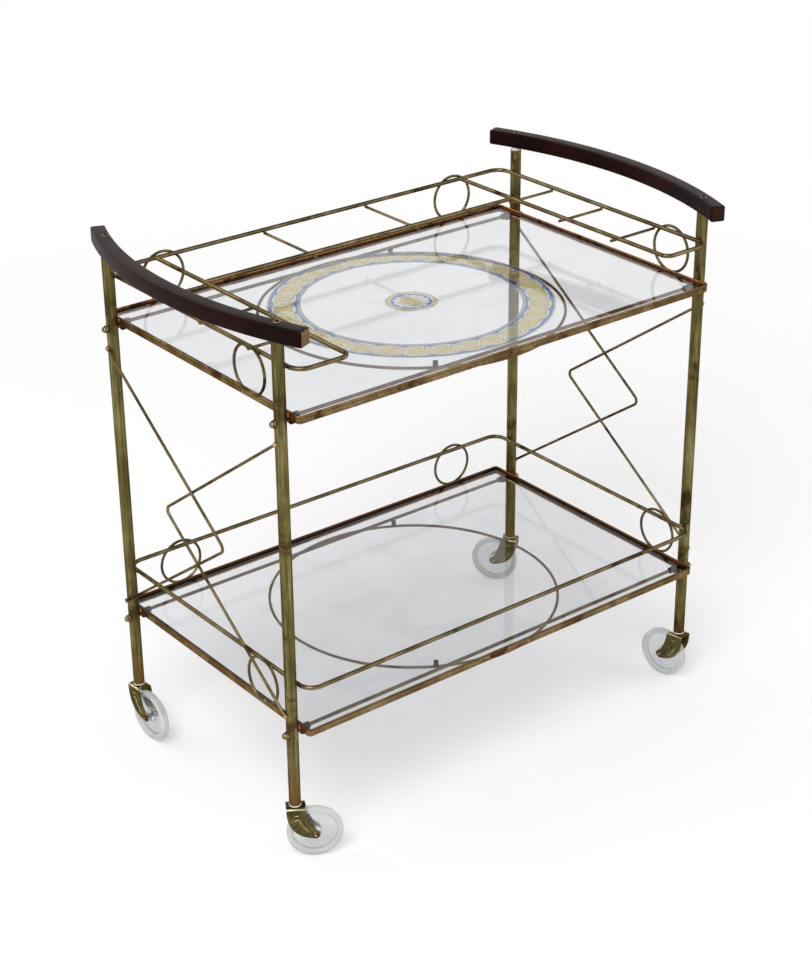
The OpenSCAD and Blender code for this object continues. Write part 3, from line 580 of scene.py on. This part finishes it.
def weld_beads(tier, rim, material):
    """All beads of a tray: loops, gallery, links, legs and the ring underneath."""
    shape = bmesh.new()
    top = rim + GALLERY_RISE
    chord = math.sqrt(LOOP_R ** 2 - (GALLERY_RISE - LOOP_RISE) ** 2)
    foot = rim - 2
    for x in (-BACK_LOOP_X, BACK_LOOP_X):
        for shift in (-chord, chord):
            bead(shape, (x + shift, RAIL_Y + 0.2, top), (2.4, 1.9, 2.2))
        bead(shape, (x, RAIL_Y + 0.6, foot), (3.6, 1.8, 2.0))
    for side, y in ((-1, LEFT_LOOP_Y), (1, RIGHT_LOOP_Y)):
        for shift in (-chord, chord):
            bead(shape, (side * (RAIL_X + 0.2), y + shift, top), (1.9, 2.4, 2.2))
        bead(shape, (side * (RAIL_X + 0.6), y, foot), (1.8, 3.6, 2.0))
    for sx in (-1, 1):
        for sy in (-1, 1):
            bead(shape, (sx * RAIL_X, sy * LEG_Y, top), (2.2, 3.2, 3.4))
            for shift in (-4.6, 4.6):
                bead(shape, (sx * RAIL_X, sy * LEG_Y + shift, rim - 5), (2.2, 2.4, 4.2))
            cross = math.sqrt(RING_R ** 2 - LEG_Y ** 2)
            bead(shape, (sx * cross, sy * LEG_Y, rim - 16.5), (3.2, 2.8, 1.6))
    if tier == "upper":
        low = top - WIRE_R
        for sx in (-1, 1):
            bead(shape, (sx * (INNER_X - WIRE_R), INNER_Y, top), (2.0, 3.2, 3.2))
            bead(shape, (sx * INNER_X, GALLERY_Y - WIRE_R, top), (3.2, 2.0, 3.2))
            for y in LINK_Y:
                bead(shape, (sx * GALLERY_X, y, low), (2.6, 2.8, 1.9))
                bead(shape, (sx * INNER_X, y, low), (2.6, 2.8, 1.9))
            for y in (GALLERY_Y, INNER_Y):
                bead(shape, (sx * BACK_LINK_X, y, low), (2.8, 2.6, 1.9))
    add_piece(shape, tier + "_weld_beads", "cart_frame", material)


def brace_beads(material):
    """Bright weld dots where the braces meet the legs' outer faces."""
    shape = bmesh.new()
    for sx in (-1, 1):
        for sy in (-1, 1):
            for z in BRACE_ENDS:
                bead(shape, (sx * (BRACE_X - 0.6), sy * LEG_Y, z), (3.2, 3.6, 3.6))
    add_piece(shape, "brace_weld_dots", "cart_frame", material)


def thin_ring(name, inner, outer, material):
    """Layer of ink on the underside of the upper pane, as a closed thin slab."""
    top, deep = TIERS["upper"] - 9.55, 0.08
    shape = bmesh.new()
    if inner > 0:
        corners = [(inner, top - deep), (outer, top - deep), (outer, top), (inner, top)]
        verts = [shape.verts.new(mm(r, 0, z)) for r, z in corners]
        for start in range(4):
            shape.edges.new((verts[start], verts[(start + 1) % 4]))
        bmesh.ops.spin(shape, geom=shape.edges[:] + shape.verts[:], cent=(0, 0, 0),
                       axis=(0, 0, 1), angle=math.tau, steps=240, use_merge=True)
    else:
        bmesh.ops.create_cone(shape, cap_ends=True, segments=96, radius1=mm(outer),
                              radius2=mm(outer), depth=mm(deep),
                              matrix=Matrix.Translation(mm(0, 0, top - deep / 2)))
    tidy_normals(shape)
    add_piece(shape, name, "cart_frame", material)


def fork_frame(corner):
    """Place and turn of a fork: along its trail, across its cheeks, and up."""
    sx, sy = CORNERS[corner]
    joint = joints[corner + "_wheel_roll"]
    across = Vector(joint["axis"]).normalized()
    pivot = mm(sx * LEG_X, sy * LEG_Y, 0)
    ahead = Vector(joint["pos_m"]) - pivot
    ahead.z = 0
    return pivot, Matrix((ahead.normalized(), across, Vector((0, 0, 1)))).transposed()


def fork_with_painted_folds(corner, skin, edge):
    """Fork with eased edges, standing for the node; the upward-facing faces of its upper folds get
    a painted highlight.
    """
    across = fork_frame(corner)[1].col[1]
    piece = softened(corner + "_fork", corner + "_swivel", skin, 0.3)
    piece.data.materials.append(edge)
    shape = bmesh.new()
    shape.from_mesh(piece.data)
    for face in shape.faces:
        side = abs(face.normal.dot(across))
        # Painted highlight: upward-facing fold faces take the pale brass.
        if face.calc_center_median().z > mm(76.5) and face.normal.z > 0.3 and side > 0.3:
            face.material_index = 1
    shape.to_mesh(piece.data)
    shape.free()


def fork_ribs(corner, skin, edge, steel):
    """Ribs, pressed dashes and rivet heads on both cheeks of a fork; upper rib slopes, dashes and
    rivet tops carry painted highlight, lower rib slopes painted shade.
    """
    pivot, basis = fork_frame(corner)
    shape = bmesh.new()

    def faces_of(made):
        faces = {face for vert in made["verts"] for face in vert.link_faces}
        for face in faces:
            face.normal_update()
        return [(face, abs(face.normal.dot(basis.col[1]))) for face in faces]

    for cheek in (-1, 1):
        made = bmesh.ops.create_icosphere(shape, subdivisions=4, radius=1)
        for vert in made["verts"]:
            x, y, z = (math.copysign(abs(part) ** 0.6, part) for part in vert.co)
            t = 0.5 + 0.5 * x
            run = (RIB_PULL - RIB_TOP) * (1 - t) + (RIB_LOW - RIB_PULL) * t
            spot = RIB_TOP * (1 - t) ** 2 + RIB_PULL * 2 * t * (1 - t) + RIB_LOW * t ** 2
            spot += Vector((-run.y, run.x)).normalized() * y * RIB_HALF
            vert.co = pivot + basis @ mm(spot.x, cheek * (FORK_HALF + z * RIB_CROWN), spot.y)
        for face, flat in faces_of(made):
            # Painted highlight on the upward rib slopes, painted shade in dark steel on the
            # downward ones.
            if flat < 0.93:
                face.material_index = 1 if face.normal.z > 0.1 else 2
        dash = bmesh.ops.create_icosphere(shape, subdivisions=2, radius=1)
        for vert in dash["verts"]:
            vert.co = pivot + basis @ mm(DASH_AT[0] + vert.co.x * DASH_HALF[0],
                                         cheek * FORK_HALF + vert.co.y * DASH_HALF[1],
                                         DASH_AT[1] + vert.co.z * DASH_HALF[2])
        # Painted highlight: the whole dash is pale brass.
        for face, _ in faces_of(dash):
            face.material_index = 1
        head = bmesh.ops.create_uvsphere(shape, u_segments=32, v_segments=16, radius=1)
        for vert in head["verts"]:
            vert.co = pivot + basis @ mm(TRAIL + vert.co.x * RIVET_R,
                                         cheek * (FORK_HALF + 0.2) + vert.co.z * RIVET_CROWN,
                                         AXLE_Z + vert.co.y * RIVET_R)
        # Painted highlight on the rivet's top; the rest of the head is dark steel.
        for face, flat in faces_of(head):
            face.material_index = 1 if flat > 0.97 else 2
    bmesh.ops.recalc_face_normals(shape, faces=shape.faces)
    piece = add_piece(shape, corner + "_fork_ribs", corner + "_swivel", skin)
    piece.data.materials.append(edge)
    piece.data.materials.append(steel)


def dome_nuts(material):
    """Eight acorn nuts outside the legs, on the ends of the cross rods."""
    shape = bmesh.new()
    for sx in (-1, 1):
        for sy in (-1, 1):
            for rim in TIERS.values():
                turn = Matrix.Rotation(sx * math.pi / 2, 4, "Y")
                put = Matrix.Translation(mm(sx * (LEG_X + LEG_R), sy * LEG_Y,
                                            rim - ROD_DROP)) @ turn
                hexagon = bmesh.ops.create_cone(
                    shape, cap_ends=True, segments=6, radius1=mm(NUT_R), radius2=mm(NUT_R),
                    depth=mm(NUT_H), matrix=put @ Matrix.Translation(mm(0, 0, NUT_H / 2)))
                faces = {face for vert in hexagon["verts"] for face in vert.link_faces}
                edges = {edge for face in faces for edge in face.edges}
                bmesh.ops.bevel(shape, geom=list(edges), offset=mm(0.5), segments=2,
                                profile=0.5, affect="EDGES", material=-1, clamp_overlap=True)
                dome = bmesh.ops.create_uvsphere(shape, u_segments=32, v_segments=16, radius=1)
                for vert in dome["verts"]:
                    vert.co = put @ mm(*(vert.co * NUT_DOME_R + Vector((0, 0, NUT_H))))
    bmesh.ops.recalc_face_normals(shape, faces=shape.faces)
    piece = add_piece(shape, "acorn_nuts", "cart_frame", material)
    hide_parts("dome_nuts")


def rod_grommets(material):
    """Rubber grommets on the cross rods, pressed flat against the rails above."""
    shape = bmesh.new()
    for sx in (-1, 1):
        for sy in (-1, 1):
            for rim in TIERS.values():
                made = bmesh.ops.create_uvsphere(shape, u_segments=32, v_segments=16, radius=1)
                for vert in made["verts"]:
                    x, y, z = vert.co
                    x = math.copysign(abs(x) ** 0.4, x)
                    spread = math.hypot(y, z)
                    round_r = GROMMET_R * spread ** 0.5 / max(spread, 1e-6)
                    top = rim - RAIL_H - 0.1
                    vert.co = mm(sx * GROMMET_X + x * GROMMET_HALF,
                                 sy * LEG_Y + y * round_r,
                                 min(rim - ROD_DROP + z * round_r, top))
    bmesh.ops.recalc_face_normals(shape, faces=shape.faces)
    add_piece(shape, "rod_grommets", "cart_frame", material)


def paint(material, *names):
    for name in names:
        slots = nodes[name].data.materials
        slots.clear()
        slots.append(material)


brass, wire, rail, rod = leg_brass(), wire_brass(), rail_brass(), rod_brass()
# edge is the pale brass for the painted highlights on the forks.
weld, fork_skin, edge, steel = weld_metal(), fork_brass(), highlight_brass(), dark_steel()
nylon, rubber = white_plastic(), black_rubber()
web = clear_plastic("clear_web", 0.86, 0.1, colour(222, 225, 227), colour(238, 240, 241))
tread = clear_plastic("milky_tread", 0.5, 0.28, colour(217, 218, 215), colour(234, 234, 231))

paint(brass, *("leg_" + corner for corner in CORNERS))
paint(nylon, "leg_plugs", "caster_bushings")
paint(screw_steel(), "handle_screws")
paint(clear_glass(), "upper_glass", "lower_glass")
paint(rail, "upper_tray_frame", "lower_tray_frame")
paint(rod, "upper_front_rod", "upper_back_rod", "lower_front_rod", "lower_back_rod",
      "upper_ring", "lower_ring")
paint(rubber, "upper_glass_pads", "lower_glass_pads")
paint(wire, "dome_nuts", *(name for name in nodes
                           if "gallery" in name or "inner_wire" in name
                           or "loop" in name or "brace" in name))
for corner in CORNERS:
    paint(steel, corner + "_stem", corner + "_axle")
    paint(fork_skin, corner + "_fork")
    paint(tread, corner + "_wheel")

for side in (-1, 1):
    bowed_handle(side)
for tier, rim in TIERS.items():
    weld_beads(tier, rim, weld)
brace_beads(weld)
for corner in CORNERS:
    fork_with_painted_folds(corner, fork_skin, edge)
    fork_ribs(corner, fork_skin, edge, steel)
    clear_wheel(corner, web, tread)
dome_nuts(nut_brass())
rod_grommets(rubber)
thin_ring("printed_band", BAND_IN, BAND_OUT, band_ink())
thin_ring("printed_medallion", 0, ROSETTE_R, medallion_ink())


def seen_white(tree, plain, lit):
    """Mixes two shaders: lit where the camera, a gloss or a pane sees them."""
    path = tree.nodes.new("ShaderNodeLightPath")
    peak = None
    for ray in ("Is Camera Ray", "Is Glossy Ray", "Is Transmission Ray"):
        if peak is None:
            peak = path.outputs[ray]
            continue
        node = tree.nodes.new("ShaderNodeMath")
        node.operation = "MAXIMUM"
        tree.links.new(peak, node.inputs[0])
        tree.links.new(path.outputs[ray], node.inputs[1])
        peak = node.outputs[0]
    return mixed_shaders(tree, peak, plain, lit)


def mixed_shaders(tree, amount, below, above):
    mix = tree.nodes.new("ShaderNodeMixShader")
    for index, part in enumerate((amount, below, above)):
        tree.links.new(part, mix.inputs[index])
    return mix.outputs[0]


def sky():
    """World: plain light, seen as white at the horizon and grey overhead."""
    world = bpy.data.worlds.new("studio")
    bpy.context.scene.world = world
    world.use_nodes = True
    tree = world.node_tree
    ambient = tree.nodes["Background"]
    ambient.inputs["Color"].default_value = (1, 1, 1, 1)
    ambient.inputs["Strength"].default_value = 0.55
    place = tree.nodes.new("ShaderNodeTexCoord")
    axes = tree.nodes.new("ShaderNodeSeparateXYZ")
    tree.links.new(place.outputs["Generated"], axes.inputs[0])
    fade = tree.nodes.new("ShaderNodeMapRange")
    fade.interpolation_type = "SMOOTHSTEP"
    tree.links.new(axes.outputs[2], fade.inputs[0])
    for index, value in enumerate((0.3, 0.8, 1.0, 0.35)):
        fade.inputs[index + 1].default_value = value
    shown = tree.nodes.new("ShaderNodeBackground")
    shown.inputs["Color"].default_value = (1, 1, 1, 1)
    tree.links.new(fade.outputs[0], shown.inputs["Strength"])
    tree.links.new(seen_white(tree, ambient.outputs[0], shown.outputs[0]),
                   tree.nodes["World Output"].inputs["Surface"])


def pale_floor():
    """Round floor that keeps the cart's shadow and turns white away from it."""
    shape = bmesh.new()
    bmesh.ops.create_circle(shape, cap_ends=True, segments=64, radius=14)
    mesh = bpy.data.meshes.new("floor")
    shape.to_mesh(mesh)
    shape.free()
    floor = bpy.data.objects.new("floor", mesh)
    bpy.context.scene.collection.objects.link(floor)
    ground = Finish("pale_floor", Roughness=0.9)
    tree = ground.tree
    grain = ground.noise(3, 3)
    ground.feed(ground.mix(grain, colour(226, 226, 228), colour(230, 230, 231)), "Base Color")
    near = tree.nodes.new("ShaderNodeEmission")
    near.inputs["Strength"].default_value = 0.22
    add = tree.nodes.new("ShaderNodeAddShader")
    tree.links.new(ground.shader.outputs[0], add.inputs[0])
    tree.links.new(near.outputs[0], add.inputs[1])
    far = tree.nodes.new("ShaderNodeEmission")
    x, y, _ = ground.axes()
    squares = [ground.math("MULTIPLY", axis, axis) for axis in (x, y)]
    radius = ground.math("SQRT", ground.math("ADD", *squares))
    lit = mixed_shaders(tree, ground.step(radius, 0.8, 2.4), add.outputs[0], far.outputs[0])
    tree.links.new(seen_white(tree, ground.shader.outputs[0], lit),
                   tree.nodes["Material Output"].inputs["Surface"])
    mesh.materials.append(ground.material)


def lamps():
    for name, place, size, power in (("key", (-2.4, -1.6, 3.4), 2.2, 95),
                                     ("side", (2.6, -2.2, 2.0), 3.2, 34),
                                     ("back", (-1.6, 3.0, 3.0), 2.8, 40)):
        lamp = bpy.data.lights.new(name, "AREA")
        lamp.size = size
        lamp.energy = power
        holder = bpy.data.objects.new(name, lamp)
        holder.location = place
        aim = Vector((0, 0, 0.4)) - Vector(place)
        holder.rotation_mode = "QUATERNION"
        holder.rotation_quaternion = aim.to_track_quat("-Z", "Y")
        bpy.context.scene.collection.objects.link(holder)


def camera():
    azimuth, elevation, roll = (math.radians(a) for a in (-38.015, 26.320, -0.528))
    ahead = Vector((-math.sin(azimuth) * math.cos(elevation),
                    math.cos(azimuth) * math.cos(elevation), -math.sin(elevation)))
    right = Vector((math.cos(azimuth), math.sin(azimuth), 0))
    up = right.cross(ahead)
    level_right = right * math.cos(roll) + up * math.sin(roll)
    level_up = up * math.cos(roll) - right * math.sin(roll)
    view = Matrix((level_right, level_up, -ahead)).transposed().to_4x4()
    lens = bpy.data.cameras.new("camera")
    lens.lens = 78.24
    lens.sensor_width = 36
    lens.clip_end = 60
    eye = bpy.data.objects.new("camera", lens)
    eye.matrix_world = Matrix.Translation((-1.64510, -2.08894, 1.68961)) @ view
    bpy.context.scene.collection.objects.link(eye)
    bpy.context.scene.camera = eye


sky()
pale_floor()
lamps()
camera()
bpy.context.scene.view_settings.view_transform = "Standard"
